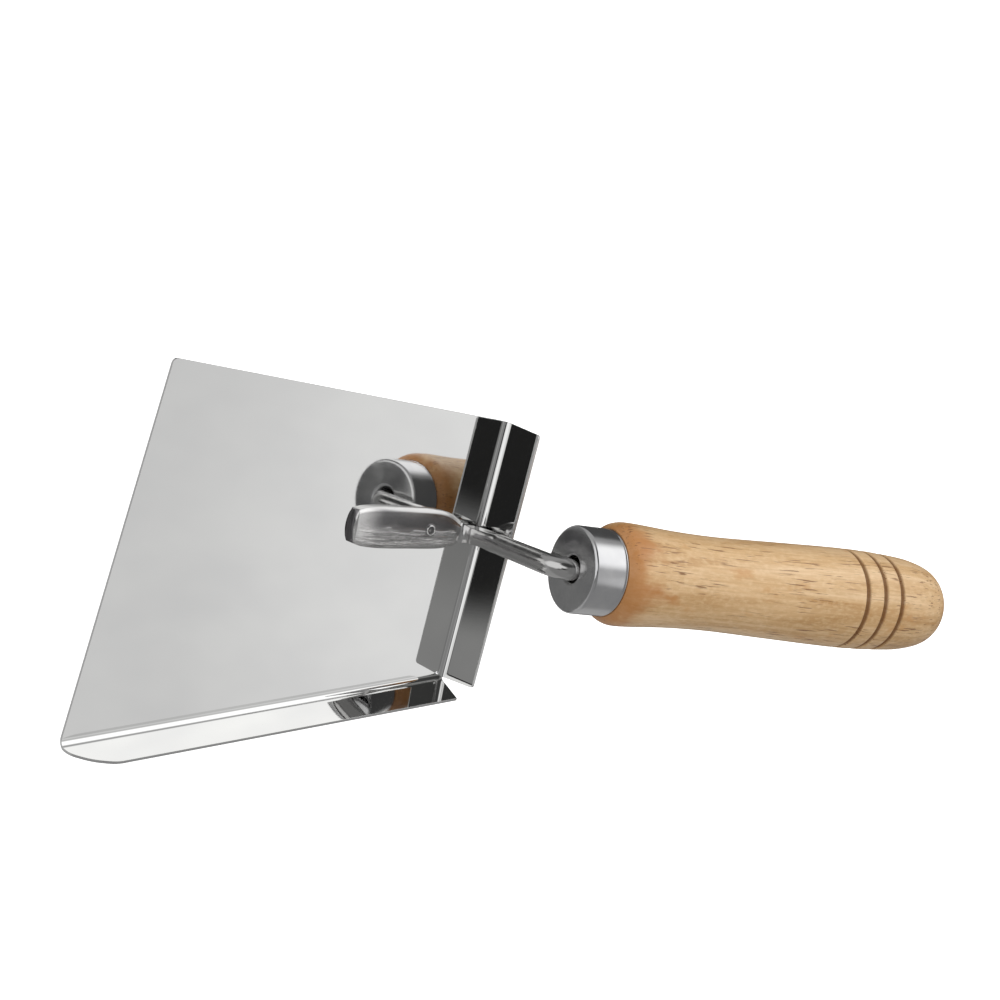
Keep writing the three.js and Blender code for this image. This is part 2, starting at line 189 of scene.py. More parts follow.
# Colours, as linear red, green, blue and alpha. A pair is the darker and the lighter of a mottling.
SHEET_COLOURS = ((0.77, 0.77, 0.765, 1), (0.81, 0.81, 0.80, 1))
FERRULE_COLOURS = ((0.6, 0.6, 0.61, 1), (0.68, 0.68, 0.68, 1))
FLOOR_COLOURS = ((0.93, 0.93, 0.93, 1), (0.95, 0.95, 0.95, 1))
ROD_STEEL = (0.56, 0.555, 0.55, 1)
# Painted shade for the foot's front end.
NOSE_PAINTED_SHADE = (0.2, 0.195, 0.2, 1)
GROUND_BRIGHT = (0.85, 0.84, 0.83, 1)
# Painted shade for the darker half of the ground foot.
GROUND_PAINTED_SHADE = (0.27, 0.265, 0.27, 1)
STREAK = (0.17, 0.165, 0.165, 1)
# Painted shade and painted highlight for the ring mark.
MARK_PAINTED_SHADE = (0.1, 0.1, 0.1, 1)
MARK_PAINTED_HIGHLIGHT = (0.88, 0.87, 0.86, 1)
WOOD_BANDS = ((0.45, 0.245, 0.085, 1), (0.64, 0.42, 0.215, 1), (0.75, 0.535, 0.32, 1))
WOOD_FIBRE = (0.4, 0.225, 0.085, 1)
WOOD_FLECK = (0.8, 0.61, 0.37, 1)
WOOD_WARM = (0.5, 0.24, 0.07, 1)
WOOD_TINT = (0.4, 0.155, 0.035, 1)
WOOD_PORE = (0.19, 0.08, 0.025, 1)
GROOVE_BROWN = (0.12, 0.045, 0.014, 1)
# Painted shade inside the handle's bore.
BORE_PAINTED_SHADE = (0.01, 0.008, 0.006, 1)
WHITE = (1, 1, 1, 1)

# The view: where the camera stands, what it looks along, and its picture's upward direction.
CAMERA_PLACE = Vector((-0.34804, 0.07196, 0.45215))
CAMERA_FORWARD = Vector((0.67291, -0.07894, -0.7355))
CAMERA_UP = Vector((-0.1331, 0.96514, -0.22536))
CAMERA_LENS = 75.6
CAMERA_SENSOR = 36
CAMERA_NEAR = 0.01

# Each lamp: its name, its direction, its distance and size in metres, and its power in watts.
LAMPS = (
    ("key", (0.0, 0.85, 0.5), 1.2, 0.9, 8),
    ("fill", (-0.3, 0.0, 1.0), 1.4, 1.2, 5),
    ("side", (-0.2, -0.9, 0.35), 1.3, 0.9, 4),
)
# The floor and the room that the steel mirrors.
FLOOR_REACH = 20
FLOOR_LEVEL = -0.0003
FLOOR_GLOW = 0.75
ROOM_GREY = 0.3
# Each patch: its direction, the angles where it is full and where it ends, and how bright it is.
ROOM_PATCHES = (
    ((0, 0, -1), 80, 92, 0.42),
    ((-0.3, 0, 0.95), 32, 45, 0.25),
    ((-0.62, -0.42, 0.66), 17.5, 19, 0.31),
    ((-0.93, 0.33, 0.15), 25, 35, 1.05),
    ((-0.874, 0.291, 0.388), 25, 32, 1.05),
    ((-0.833, -0.2, 0.515), 5, 10, 0.13),
    ((-0.37, 0.725, 0.58), 15, 24, 0.06),
    ((-0.705, 0.06, 0.705), 5, 6.5, 0.02),
    ((-0.705, -0.035, 0.705), 5, 6.5, 0.02),
    ((-0.636, 0.06, 0.772), 5, 6.5, 0.02),
    ((-0.636, 0.01, 0.772), 5, 6.5, 0.02),
    ((0.62, 0.3, -0.6), 38, 50, 0.08),
    ((0.2, 0.97, 0), 14, 24, 0.42),
    ((0.4, 0.2, 0.9), 14, 32, 0.55),
    ((0.44, 0.7, 0.56), 13, 33, 1.4),
    ((0.61, -0.1, 0.785), 12, 18, 0.7),
    ((0.75, -0.1, 0.65), 5, 16, 0.88),
)


# ---- meshes ----


def piece(name, points, faces, material, slot, nodes, place, open_sheet=False):
    """A smooth-shaded piece from millimetre points, riding on the frame in place of CAD nodes."""
    mesh = bpy.data.meshes.new(name)
    mesh.from_pydata([place @ (Vector(p) * MM) for p in points], [], faces)
    work = bmesh.new()
    work.from_mesh(mesh)
    bmesh.ops.remove_doubles(work, verts=work.verts, dist=SAME_PLACE * MM)
    bmesh.ops.recalc_face_normals(work, faces=work.faces)
    widest = max(work.faces, key=bmesh.types.BMFace.calc_area)
    if open_sheet and widest.normal.z < 0:
        bmesh.ops.reverse_faces(work, faces=work.faces)
    work.to_mesh(mesh)
    work.free()
    mesh.shade_smooth()
    mesh.set_sharp_from_angle(angle=CREASE)
    mesh.materials.append(material)
    shown = bpy.data.objects.new(name, mesh)
    bpy.context.scene.collection.objects.link(shown)
    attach(shown, "root")
    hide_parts(*nodes)
    return shown


def lathe(profile, closed):
    """Points and faces of (along, radius) pairs turned about the X axis."""
    points, faces = [], []
    for along, radius in profile:
        for k in range(TURNED_SEGMENTS):
            turn = 2 * math.pi * k / TURNED_SEGMENTS
            points.append((along, radius * math.cos(turn), radius * math.sin(turn)))
    rows = len(profile)
    for i in range(rows if closed else rows - 1):
        here, there = i * TURNED_SEGMENTS, (i + 1) % rows * TURNED_SEGMENTS
        for k in range(TURNED_SEGMENTS):
            after = (k + 1) % TURNED_SEGMENTS
            faces.append((here + k, here + after, there + after, there + k))
    return points, faces


def arc(centre, radius, start, end, steps):
    """Points of an arc from angle start to angle end, in degrees."""
    turns = [math.radians(start + (end - start) * k / steps) for k in range(steps + 1)]
    return [(centre[0] + radius * math.cos(t), centre[1] + radius * math.sin(t)) for t in turns]


def through(points, steps):
    """A Catmull-Rom curve through points, with so many steps between each two."""
    knots = [Vector(p) for p in points]
    ends = [knots[0], *knots, knots[-1]]
    curve = []
    for a, b, c, d in zip(ends, ends[1:], ends[2:], ends[3:]):
        for k in range(steps):
            t = k / steps
            bend = (c - a) * t + (2 * a - 5 * b + 4 * c - d) * t**2 + (3 * b - a - 3 * c + d) * t**3
            curve.append(b + bend / 2)
    return [*curve, knots[-1]]


def value_at(table, place):
    """The value of a smooth curve through (place, value) pairs in rising order, flat beyond them."""
    if place <= table[0][0]:
        return table[0][1]
    slopes = [(d - b) / (c - a) for (a, b), (c, d) in zip(table, table[1:])]
    leans = [0, *[(before + after) / 2 for before, after in zip(slopes, slopes[1:])], 0]
    for k, ((a, low), (b, high)) in enumerate(zip(table, table[1:])):
        if place <= b:
            t = (place - a) / (b - a)
            rise = (b - a) * (t * (1 - t) ** 2 * leans[k] - t * t * (1 - t) * leans[k + 1])
            return low + (high - low) * t * t * (3 - 2 * t) + rise
    return table[-1][1]


# ---- where things are, from the CAD frame ----


def ring_middle(node):
    """The middle of a turned CAD node's own points, each counted once: it lies on the node's axis."""
    spots = {tuple(round(c, 6) for c in v.co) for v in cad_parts[node].data.vertices}
    return sum((Vector(s) for s in spots), Vector()) / len(spots)


def grip_place():
    """The frame of ferrule and handle: X along their axis, origin at the ferrule's front face."""
    front, back = ring_middle("ferrule"), ring_middle("handle")
    along = (back - front).normalized()
    corners = [v.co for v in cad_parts["ferrule"].data.vertices]
    nearest = min((c - front).dot(along) for c in corners)
    across = Vector((0, 0, 1)).cross(along).normalized()
    start = front + along * nearest
    turn = Matrix((along, across, along.cross(across))).transposed()
    return Matrix.Translation(start) @ turn.to_4x4()


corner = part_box("blade")[1] - Vector((SHEET, HEEL_FOLD_LENGTH, 0)) * MM
blade_place = Matrix.Translation((corner.x, corner.y, 0))
grip = grip_place()
grip_along = grip.col[0].to_3d()
grip_azimuth = math.atan2(grip_along.y, grip_along.x)
grip_elevation = math.asin(grip_along.z)
tang_base = (SHEET + TANG_CLEARANCE) * MM
tang_place = (
    Matrix.Translation((grip.translation.x, grip.translation.y, tang_base))
    @ Matrix.Rotation(grip_azimuth, 4, "Z")
    @ Matrix.Translation((0, TANG_ACROSS * MM, 0))
)


# ---- blade ----


class Fold:
    """A fold along a line from the blade's corner, and the flange it turns up."""

    def __init__(self, along, outward, bend, height, growth=0.0):
        self.along = along
        self.outward = outward
        self.bend = bend
        self.height = height
        self.growth = growth
        self.tangent = FOLD_RADIUS * math.tan(bend / 2)

    def spot(self, place, rise):
        """The point so far along the fold and so far up from it: the rise runs through the curve first."""
        if rise < self.tangent:
            turn = self.bend * (rise / self.tangent + 1) / 2
            out = FOLD_RADIUS * math.sin(turn) - self.tangent
            up = FOLD_RADIUS * (1 - math.cos(turn))
        else:
            reach = rise + (rise - self.tangent) * self.growth * place
            out = reach * math.cos(self.bend)
            up = reach * math.sin(self.bend)
        flat = self.along * place + self.outward * out
        return (flat.x, flat.y, SHEET + up)

    def curve_rises(self):
        return [self.tangent * (2 * k / FOLD_STEPS - 1) for k in range(FOLD_STEPS + 1)]


def relief(place, reach, rise):
    """Where the round corner relief ends along a fold, at a rise above its tangent line."""
    return place + math.sqrt(max(0, reach**2 - rise**2)) if rise < reach else 0


def corner_cut(rise, top, radius):
    """How far a rounded corner pulls an end in, near the top of its flange."""
    into = rise - top + radius
    return radius - math.sqrt(max(0, radius**2 - into**2)) if into > 0 else 0


def strip(fold, rises, near, far):
    """One row of quads for each step up a flange, between its near and far ends."""
    points, faces = [], []
    for rise in rises:
        points += [fold.spot(near(rise), rise), fold.spot(far(rise), rise)]
    for k in range(0, len(points) - 2, 2):
        faces.append((k, k + 1, k + 3, k + 2))
    return points, faces


def blade_surface():
    """The sheet's upper face: the plate as one flat face, and a strip up each fold."""
    side_line = SIDE_FOLD_FRONT.normalized()
    heel_way = (Vector((0, 1)), Vector((1, 0)))
    heel = Fold(*heel_way, HEEL_FLANGE_BEND, HEEL_FLANGE_HEIGHT, HEEL_FLANGE_GROWTH)
    side = Fold(side_line, Vector((-side_line.y, side_line.x)), SIDE_FLANGE_BEND, SIDE_FLANGE_WIDTH)

    # The two tangent lines meet here, and a small round hole relieves the corner.
    meet_side = (heel.tangent + side.outward.x * -side.tangent) / -side.along.x
    meet = side.along * meet_side - side.outward * side.tangent

    def heel_near(rise):
        lean = HEEL_END_LEAN * max(0, rise) / heel.height
        line = CORNER_RELIEF + (meet.y - CORNER_RELIEF) * max(0, -rise / heel.tangent) + lean
        hole = relief(meet.y, RELIEF_RADIUS, rise + heel.tangent)
        return max(line, hole) + corner_cut(rise, heel.height, FLANGE_CORNER_RADIUS)

    def heel_far(rise):
        lean = 2 * HEEL_END_LEAN * max(0, rise) / heel.height
        return HEEL_FOLD_LENGTH - lean - corner_cut(rise, heel.height, FLANGE_CORNER_RADIUS)

    def side_near(rise):
        slant = (SIDE_FLANGE_SLANT - RELIEF_RADIUS / 2) * max(0, rise) / side.height
        line = RELIEF_RADIUS / 2 + (meet_side - RELIEF_RADIUS / 2) * max(0, -rise / side.tangent)
        hole = relief(meet_side, RELIEF_RADIUS, rise + side.tangent)
        return max(line + slant, hole)

    front_end_low = (-side.tangent, side_line.dot(SIDE_FOLD_FRONT) - SIDE_FRONT_EASE)
    front_end = through([front_end_low, *SIDE_FRONT_END], FRONT_END_STEPS)

    def side_far(rise):
        for low, high in zip(front_end, front_end[1:]):
            if rise <= high.x:
                return low.y + (high.y - low.y) * (rise - low.x) / (high.x - low.x)
        return front_end[-1].y

    round_turns = [math.radians(90 * k / ROUND_CORNER_STEPS) for k in range(ROUND_CORNER_STEPS + 1)]
    round_top = [heel.height - FLANGE_CORNER_RADIUS * (1 - math.sin(turn)) for turn in round_turns]
    heel_rises = [*heel.curve_rises(), *round_top]
    flat_start = side.tangent + LEAST_RISE
    side_rises = [*side.curve_rises(), *[p.x for p in front_end if p.x > flat_start]]

    points, faces = [], []
    for fold, rises, near, far in (
        (heel, heel_rises, heel_near, heel_far),
        (side, side_rises, side_near, side_far),
    ):
        more_points, more_faces = strip(fold, rises, near, far)
        faces += [tuple(v + len(points) for v in face) for face in more_faces]
        points += more_points

    hole_start = math.degrees(math.atan2(side.along.y, side.along.x)) % 360
    outline = arc(meet, RELIEF_RADIUS, 90, hole_start, RELIEF_STEPS)
    outline.append(side.spot(side_far(-side.tangent), -side.tangent)[:2])
    before = (Vector(outline[-1]) - PLAIN_FRONT_CORNER).normalized()
    after = (Vector((-heel.tangent, HEEL_FOLD_LENGTH)) - PLAIN_FRONT_CORNER).normalized()
    for k in range(FRONT_CORNER_STEPS + 1):
        t = k / FRONT_CORNER_STEPS
        pull = before * (1 - t) ** 2 + after * t**2
        outline.append(PLAIN_FRONT_CORNER + pull * FRONT_CORNER_RADIUS)
    outline.append((-heel.tangent, HEEL_FOLD_LENGTH))
    faces.append(tuple(range(len(points), len(points) + len(outline))))
    points += [(x, y, SHEET) for x, y in outline]
    return points, faces


def make_blade(material):
    """The folded sheet: its upper face, thickened downwards, with its cut edges eased."""
    points, faces = blade_surface()
    way = (material, "polished_steel", ["blade"], blade_place)
    blade = piece("blade_sheet", points, faces, *way, open_sheet=True)
    thicken = blade.modifiers.new("thickness", "SOLIDIFY")
    thicken.thickness = SHEET * MM
    thicken.offset = -1
    thicken.use_even_offset = True
    edges = blade.modifiers.new("cut_edges", "BEVEL")
    edges.width = CUT_EDGE_ROUNDING * MM
    edges.segments = 2
    edges.limit_method = "ANGLE"
    edges.angle_limit = CUT_EDGE_ANGLE
    flats = blade.modifiers.new("flat_faces", "WEIGHTED_NORMAL")
    flats.weight = 100
    flats.keep_sharp = True


# ---- tang ----


def tang_path():
    """The tang's middle line as (along, up) points: foot, fillet, rod, bend and spike."""
    rise = Vector((-math.sin(ROD_LEAN), math.cos(ROD_LEAN)))
    grip_line = Vector((math.cos(grip_elevation), math.sin(grip_elevation)))
    grip_height = (grip.translation.z - tang_base) / MM
    level = FOOT_HEIGHT / 2
    fillet_start = Vector((FILLET_START, level))
    rod_low = ROD_FOOT + rise * ((level - ROD_FOOT.y) / rise.y)
    fillet_end = rod_low + rise * FILLET_RISE
    reach = (grip_line.x * (grip_height - ROD_FOOT.y) + grip_line.y * ROD_FOOT.x) / (
        rise.y * grip_line.x - rise.x * grip_line.y
    )
    bend = ROD_FOOT + rise * reach
    bend_start = bend - rise * ROD_BEND_TANGENT
    bend_end = bend + grip_line * ROD_BEND_TANGENT
    spike_end = Vector((0, grip_height)) + grip_line * SPIKE_LENGTH

    def curve(start, control, end, count):
        shares = [k / count for k in range(count + 1)]
        return [start * (1 - t) ** 2 + control * 2 * t * (1 - t) + end * t * t for t in shares]

    def line(start, end, step):
        count = max(1, round((end - start).length / step))
        return [start.lerp(end, k / count) for k in range(count + 1)]

    mark_low = Vector((MARK_PLACE[0] - MARK_REACH, level))
    mark_high = Vector((MARK_PLACE[0] + MARK_REACH, level))
    front = Vector((FOOT_FRONT, level))
    nose = Vector((FOOT_FRONT + NOSE, level))
    stretches = [
        line(front, nose, FINE_STEP),
        line(nose, mark_low, COARSE_STEP),
        line(mark_low, mark_high, FINE_STEP),
        line(mark_high, fillet_start, NECK_STEP),
        curve(fillet_start, rod_low, fillet_end, FILLET_SECTIONS),
        line(fillet_end, bend_start, COARSE_STEP),
        curve(bend_start, bend, bend_end, BEND_SECTIONS),
        line(bend_end, spike_end, SPIKE_STEP),
    ]
    path = [stretches[0][0]]
    for stretch in stretches:
        path += stretch[1:]
    return path


def tang_section(distance):
    """One section's (across, out) points round the middle line, starting at the lower left."""
    half = value_at(TANG_HALF_WIDTH, distance)
    inner = value_at(TANG_TOP, distance)
    outer = value_at(TANG_BOTTOM, distance)
    roundness = value_at(TANG_ROUNDNESS, distance)
    shoulder = SHOULDER_WIDTH * (1 - roundness)
    crown = CROWN * (1 - roundness) * min(1, half / FOOT_HALF_WIDTH)
    flat = half - shoulder
    top = inner - value_at(NOSE_DROP, distance)
    wall = top - SHOULDER_DROP
    on_seam = SEAM_START < distance < SEAM_END
    section = []

    def add(boxy, turn):
        seam = SEAM_HEIGHT * math.exp(-(((turn - SEAM_ANGLE) / SEAM_WIDTH) ** 2)) if on_seam else 0
        turn = math.radians(turn)
        reach = inner if turn < math.pi else outer
        ring = ((half + seam) * math.cos(turn), (reach + seam) * math.sin(turn))
        section.append([b + (r - b) * roundness for b, r in zip(boxy, ring)])

    for k in range(BASE_STEPS):
        share = k / BASE_STEPS
        add((half * (2 * share - 1), -outer), LOW_LEFT + (LOW_RIGHT - LOW_LEFT) * share)
    for k in range(WALL_STEPS):
        share = k / WALL_STEPS
        add((half, -outer + (wall + outer) * share), LOW_RIGHT + WALL_SWEEP * share)
    for k, (width, drop) in enumerate(SHOULDER):
        turn = SHOULDER_RIGHT + SHOULDER_SWEEP * k / len(SHOULDER)
        add((flat + shoulder * width, top - SHOULDER_DROP * drop), turn)
    for share in TOP_SHARES:
        add((flat * share, top + crown * (1 - share * share)), 90 - TOP_HALF_SWEEP * share)
    for k, (width, drop) in enumerate(reversed(SHOULDER)):
        turn = SHOULDER_LEFT + SHOULDER_SWEEP * (k + 1) / len(SHOULDER)
        add((-flat - shoulder * width, top - SHOULDER_DROP * drop), turn)
    for k in range(WALL_STEPS, 0, -1):
        share = k / WALL_STEPS
        add((-half, -outer + (wall + outer) * share), LOW_LEFT - WALL_SWEEP * share)
    return section


def punch_mark(along, across):
    """Height of the small ring mark struck into the top of the foot: a raised ring round a dimple."""
    far = math.hypot(along - MARK_PLACE[0], across - MARK_PLACE[1])
    ring = MARK_HEIGHT * math.exp(-(((far - MARK_RADIUS) / MARK_LINE) ** 2))
    dimple = MARK_DIMPLE * math.exp(-((far / (MARK_RADIUS / 2)) ** 2))
    return ring - dimple


def make_tang(material):
    """The forging: one section after another along the middle line, closed at both ends."""
    path = tang_path()
    points, faces = [], []
    distance = 0
    for k, here in enumerate(path):
        before, after = path[max(0, k - 1)], path[min(len(path) - 1, k + 1)]
        distance += (here - before).length
        run = (after - before).normalized()
        out = Vector((-run.y, run.x))
        section = tang_section(distance)
        half = max(p[0] for p in section)
        aside = value_at(TANG_SHIFT, distance)
        bulge = NOSE_BULGE * value_at(NOSE_DROP, distance) / NOSE_DROP[0][1]
        for across, high in section:
            along = bulge * (across / half) ** 2
            spot = here + out * high + run * along
            if high > 0 and spot.x < FILLET_START:
                spot.y += punch_mark(spot.x, across + aside)
            points.append((spot.x, across + aside, spot.y))
    count = len(section)
    for row in range(len(path) - 1):
        for k in range(count):
            after = (k + 1) % count
            here, there = row * count, (row + 1) * count
            faces.append((here + k, here + after, there + after, there + k))
    faces.append(tuple(range(count)))
    faces.append(tuple(range(len(points) - count, len(points))))
    piece("forged_tang", points, faces, material, "forged_steel", ["tang"], tang_place)


# ---- ferrule and handle ----


def make_ferrule(material):
    """A cup turned from its profile: the hole's lip, the face, the rim, the wall and back inside."""
    rim = FERRULE_RADIUS - FERRULE_RIM_RADIUS
    inner = FERRULE_RADIUS - FERRULE_WALL
    hole = FERRULE_HOLE_RADIUS
    lip = FERRULE_LIP_RADIUS
    profile = [(x, r) for r, x in arc((hole + lip, lip), lip, 180, 270, 10)]
    profile += [(x, r) for r, x in arc((rim, FERRULE_RIM_RADIUS), FERRULE_RIM_RADIUS, 270, 360, 12)]
    for back, sunk in FERRULE_LINE:
        profile.append((FERRULE_LENGTH - back, FERRULE_RADIUS - sunk))
    end = (FERRULE_LENGTH - FERRULE_END_ROUNDING, FERRULE_RADIUS - FERRULE_END_ROUNDING)
    profile += arc(end, FERRULE_END_ROUNDING, 90, 0, 3)
    profile.append((FERRULE_LENGTH, inner))
    inside = FERRULE_RIM_RADIUS - FERRULE_WALL
    profile += [(x, r) for r, x in arc((rim, FERRULE_RIM_RADIUS), inside, 360, 270, 8)]
    profile += [(x, r) for r, x in arc((hole + lip, lip), lip - FERRULE_WALL, 270, 180, 6)]
    points, faces = lathe(profile, closed=True)
    piece("pressed_ferrule", points, faces, material, "ferrule_steel", ["ferrule"], grip)


def groove_depth(along):
    """How deep the turned grooves cut the handle, so far back from the ferrule's face."""
    near = min(abs(along - place) for place in GROOVE_PLACES) / GROOVE_HALF_WIDTH
    return GROOVE_DEPTH * (1 - near * near) ** 1.5 if near < 1 else 0


def make_handle(material):
    """The handle turned from its profile: the bore, the spigot in the ferrule and the outline."""
    shoulder = FERRULE_LENGTH + FIT_GAP
    outline = through([(shoulder, HANDLE_SHOULDER), *HANDLE_OUTLINE, (HANDLE_END, 0)], CURVE_STEPS)
    spigot = FERRULE_RADIUS - FERRULE_WALL - FIT_GAP
    front = FERRULE_WALL + FERRULE_RIM_RADIUS
    bore_end = SPIKE_LENGTH + BORE_SPARE
    profile = [(bore_end, 0), (bore_end, BORE_RADIUS), (front, BORE_RADIUS)]
    profile += [(front, spigot), (shoulder, spigot)]
    profile += [(x, max(0, r - groove_depth(x))) for x, r in outline]
    points, faces = lathe(profile, closed=False)
    piece("turned_handle", points, faces, material, "handle_wood", ["handle"], grip)


# ---- materials ----


class Look:
    """A material being wired: its nodes, links and Principled shader, on a piece that lies at a place."""

    def __init__(self, name, at):
        self.at = at
        self.material = bpy.data.materials.new(name)
        self.material.use_nodes = True
        self.tree = self.material.node_tree
        self.shader = self.tree.nodes["Principled BSDF"]

    def node(self, kind, settings=None, **sockets):
        """A new node. Sockets are given by name, with _ for a space, as values or as outputs to link."""
        made = self.tree.nodes.new(kind)
        for key, value in (settings or {}).items():
            setattr(made, key, value)
        for key, value in sockets.items():
            self.put(made.inputs[key.replace("_", " ")], value)
        return made

    def put(self, socket, value):
        if isinstance(value, bpy.types.NodeSocket):
            self.tree.links.new(value, socket)
        else:
            socket.default_value = value

    def shade(self, **sockets):
        for key, value in sockets.items():
            self.put(self.shader.inputs[key.replace("_", " ")], value)

    def place(self, scale=(1, 1, 1), shift=(0, 0, 0)):
        """The piece's own coordinates in millimetres, stretched and shifted."""
        own = self.node(
            "ShaderNodeMapping",
            {"vector_type": "TEXTURE"},
            Vector=self.node("ShaderNodeTexCoord").outputs["Object"],
            Location=self.at.translation,
            Rotation=self.at.to_euler(),
            Scale=(MM, MM, MM),
        )
        stretched = self.node("ShaderNodeMapping", Vector=own.outputs[0], Scale=scale, Location=shift)
        return stretched.outputs[0]

    def off_axis(self, parts):
        """The distance in millimetres from the piece's own X axis, from its separate coordinates."""
        flat = self.node("ShaderNodeCombineXYZ", X=0.0, Y=parts.outputs["Y"], Z=parts.outputs["Z"])
        return self.length(flat.outputs[0])

    def length(self, vector):
        made = self.node("ShaderNodeVectorMath", {"operation": "LENGTH"}, Vector=vector)
        return made.outputs["Value"]

    def noise(self, where, scale, detail=3.0, rough=0.55, warp=0.0):
        made = self.node(
            "ShaderNodeTexNoise",
            Vector=where,
            Scale=scale,
            Detail=detail,
            Roughness=rough,
            Distortion=warp,
        )
        return made.outputs["Fac"]

    def spread(self, value, low, high, to_low=0.0, to_high=1.0, smooth=False):
        made = self.node(
            "ShaderNodeMapRange",
            {"interpolation_type": "SMOOTHSTEP" if smooth else "LINEAR"},
            Value=value,
            From_Min=low,
            From_Max=high,
            To_Min=to_low,
            To_Max=to_high,
        )
        return made.outputs[0]

    def maths(self, operation, *values):
        made = self.node("ShaderNodeMath", {"operation": operation})
        for socket, value in zip(made.inputs, values):
            self.put(socket, value)
        return made.outputs[0]

    def mix(self, share, first, second):
        made = self.node("ShaderNodeMix", {"data_type": "RGBA"})
        self.put(made.inputs["Factor"], share)
        self.put(made.inputs["A"], first)
        self.put(made.inputs["B"], second)
        return made.outputs["Result"]

    def bump(self, height, strength, distance, normal=None):
        made = self.node("ShaderNodeBump", Height=height, Strength=strength, Distance=distance)
        if normal:
            self.put(made.inputs["Normal"], normal)
        return made.outputs[0]


# ---- the finishes ----


def polished_steel():
    """Mirror-finished sheet with a faint rolling grain along the blade."""
    look = Look("polished_steel", blade_place)
    grain = look.noise(look.place((0.05, 2.2, 1)), 1.6, detail=4, rough=0.6)
    cloud = look.noise(look.place((0.03, 0.05, 0.05)), 1.0, detail=2)
    haze = look.maths("MULTIPLY", grain, cloud)
    height = look.node("ShaderNodeSeparateXYZ", Vector=look.place()).outputs["Z"]
    flange_top = SHEET + HEEL_FLANGE_HEIGHT
    # The heel flange's cut edge is dull.
    top_edge = look.spread(height, flange_top - 0.2, flange_top - 0.1)
    smooth = look.spread(haze, 0.15, 0.4, 0.02, 0.045)
    clouded = look.spread(cloud, 0.35, 0.65)
    look.shade(
        Base_Color=look.mix(clouded, *SHEET_COLOURS),
        Metallic=1.0,
        Roughness=look.maths("MAXIMUM", smooth, look.maths("MULTIPLY", top_edge, 0.5)),
        Normal=look.bump(grain, 0.05, 0.01 * MM),
    )
    return look.material


def forged_steel():
    """Plated forging: a bright smooth rod, and a ground foot with lengthwise streaks and small pits."""
    look = Look("forged_steel", tang_place)
    parts = look.node("ShaderNodeSeparateXYZ", Vector=look.place())
    on_foot = look.spread(parts.outputs["X"], FOOT_END - 2, FOOT_END + 2, 1, 0, smooth=True)
    facing_up = look.spread(parts.outputs["Z"], FOOT_HEIGHT - 0.6, FOOT_HEIGHT - 0.2, 0, 1, smooth=True)
    ground = look.maths("MULTIPLY", on_foot, facing_up)

    # The grinding streaks lie on the half of the foot towards the side flange, away from the nose.
    wander = look.noise(look.place((0.1, 0.2, 0.2)), 1.0, detail=2)
    uneven = look.maths("ADD", parts.outputs["Y"], look.spread(wander, 0.3, 0.7, -0.9, 0.9))
    one_side = look.spread(uneven, -1.6, 0.4, 1, 0, smooth=True)
    behind_nose = look.spread(parts.outputs["X"], FOOT_FRONT + 3, FOOT_FRONT + 11, 0.1, 1, smooth=True)
    streaked = look.maths("MULTIPLY", look.maths("MULTIPLY", one_side, behind_nose), ground)
    streaks = look.noise(look.place((0.11, 1.25, 0.6)), 1.0, detail=4, rough=0.6, warp=0.5)
    deep = look.maths("MULTIPLY", streaked, look.spread(streaks, 0.36, 0.64))
    grain = look.noise(look.place((0.5, 3.5, 1.5)), 1.0, detail=4, rough=0.65)
    fine = look.maths("MULTIPLY", ground, grain)
    lumps = look.noise(look.place((0.16, 0.3, 0.3)), 1.0, detail=1)
    pits = look.noise(look.place((1.1, 1.3, 1.3)), 1.0, detail=2)
    pitted = look.spread(pits, 0.68, 0.76, 1, 0)
    first = look.bump(deep, 1.0, 0.6 * MM)
    second = look.bump(fine, 0.3, 0.05 * MM, first)
    third = look.bump(lumps, 0.25, 0.4 * MM, second)

    # Painted shade: the half towards the plain side edge is painted darker, and so is the very front.
    shaded = look.maths("MULTIPLY", look.spread(uneven, -3.5, 2.0, 0, 1, smooth=True), behind_nose)
    ground_steel_and_shade = look.mix(shaded, GROUND_BRIGHT, GROUND_PAINTED_SHADE)
    # The foot's front end is painted dark: painted shade.
    nose = look.spread(parts.outputs["X"], FOOT_FRONT + 1.2, FOOT_FRONT + 2, 1, 0)
    smooth_steel_and_nose_shade = look.mix(nose, ROD_STEEL, NOSE_PAINTED_SHADE)
    steel_and_painted_shade = look.mix(ground, smooth_steel_and_nose_shade, ground_steel_and_shade)
    streaky = look.mix(look.maths("MULTIPLY", deep, 0.55), steel_and_painted_shade, STREAK)

    # Painted shade darkens the ring mark, and a painted highlight brightens its crest.
    from_mark = look.place((1, 1, 0), (-MARK_PLACE[0], -MARK_PLACE[1], 0))
    far = look.length(from_mark)
    mark_shade = look.spread(far, MARK_RADIUS + 0.25, MARK_RADIUS + 0.55, 0.6, 0)
    off_crest = look.maths("ABSOLUTE", look.maths("SUBTRACT", far, MARK_RADIUS))
    crest_highlight = look.maths("MULTIPLY", look.spread(off_crest, 0.1, 0.28, 1, 0), facing_up)
    with_mark_shade = look.mix(look.maths("MULTIPLY", mark_shade, facing_up), streaky, MARK_PAINTED_SHADE)
    look.shade(
        Base_Color=look.mix(crest_highlight, with_mark_shade, MARK_PAINTED_HIGHLIGHT),
        Metallic=1.0,
        Roughness=look.spread(ground, 0, 1, 0.15, 0.26),
        Normal=look.bump(pitted, 0.3, 0.06 * MM, third),
    )
    return look.material


